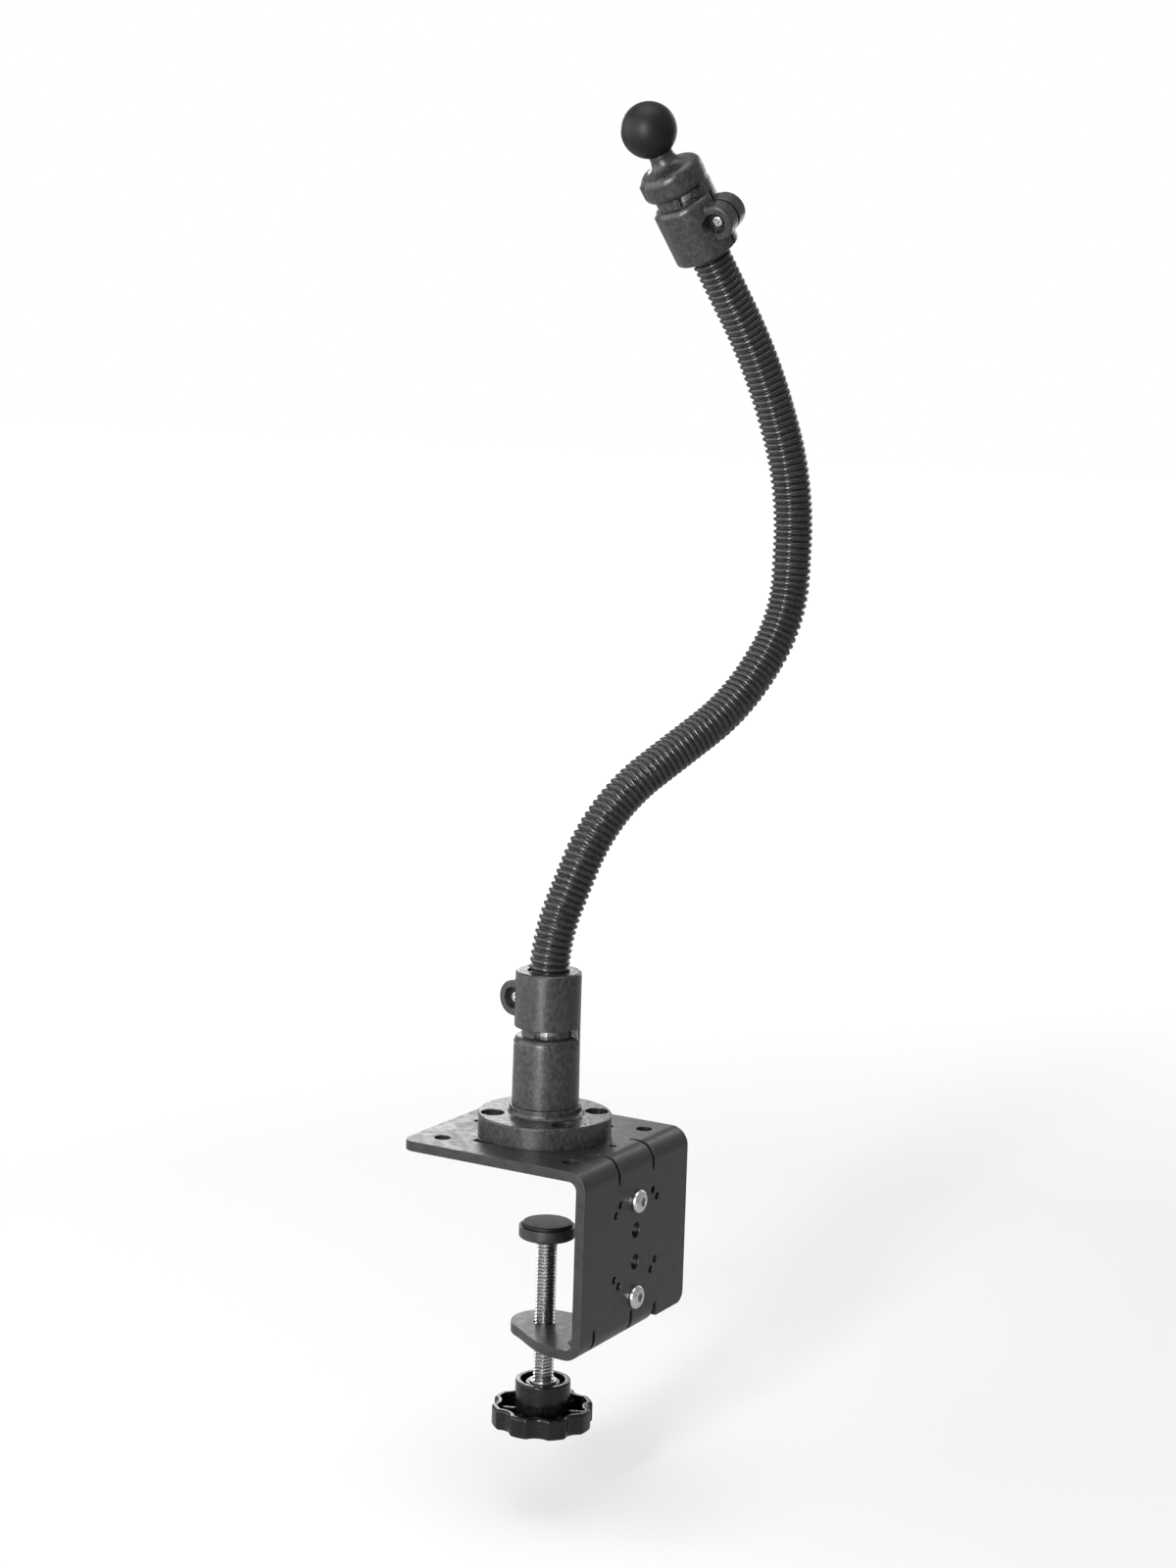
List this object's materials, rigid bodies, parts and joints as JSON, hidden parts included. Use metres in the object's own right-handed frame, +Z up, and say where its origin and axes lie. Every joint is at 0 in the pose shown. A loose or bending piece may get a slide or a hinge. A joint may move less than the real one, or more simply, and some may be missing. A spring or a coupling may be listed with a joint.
{
  "type": "gooseneck clamp mount",
  "caption": "Folded bracket that clamps a board's edge with a knob-turned screw, with a bendable corrugated arm that carries a rubber mounting ball.",
  "frame": {"origin": "underside of the bracket's top plate, on the axis of the round base and its post", "axes": "+Z up along the post, +X towards the bracket's web, +Y along the clamped edge"},
  "size_m": [0.1164, 0.1727, 0.6002],
  "materials": {
    "bracket_coat": "satin black powder coat",
    "filled_nylon": "matte, mottled",
    "sleeve_plastic": "satin gloss",
    "bright_steel": "bright zinc plating",
    "core_steel": "plain",
    "knob_plastic": "gloss",
    "ball_rubber": "matte"
  },
  "bodies": {
    "mount": {"clamp_bracket": "bracket_coat", "web_screw_upper": "bright_steel", "web_screw_lower": "bright_steel", "round_base": "filled_nylon", "base_screw_1": "bright_steel", "base_screw_2": "bright_steel", "base_screw_3": "bright_steel", "base_screw_4": "bright_steel", "post_screw": "bright_steel", "lower_socket": "filled_nylon", "lower_socket_screw": "bright_steel", "lower_socket_nut": "bright_steel", "lower_coupler": "bright_steel", "gooseneck_core": "core_steel", "gooseneck_sleeve": "sleeve_plastic", "upper_coupler": "bright_steel", "upper_socket": "filled_nylon", "upper_socket_screw": "bright_steel", "upper_socket_nut": "bright_steel", "mounting_ball": "ball_rubber"},
    "pad": {"pad_cup": "bracket_coat", "pad_face": "ball_rubber"},
    "screw": {"clamp_rod": "bright_steel", "clamp_knob": "knob_plastic", "knob_bush": "bright_steel", "pad_ring": "bright_steel"}
  },
  "joints": [
    {"name": "pad_lift", "type": "slide", "parent": "mount", "child": "pad", "axis": [0, 0, 1], "range_m": [-0.0402, 0.0222]},
    {"name": "screw_turn", "type": "hinge", "parent": "pad", "child": "screw", "pos_m": [0.0145, -0.0195, 0], "axis": [0, 0, 1], "range_deg": [-9120, 5040]}
  ],
  "couplings": [
    {"joint": "screw_turn", "follows": "pad_lift", "rad_per_m": 3957.9}
  ]
}
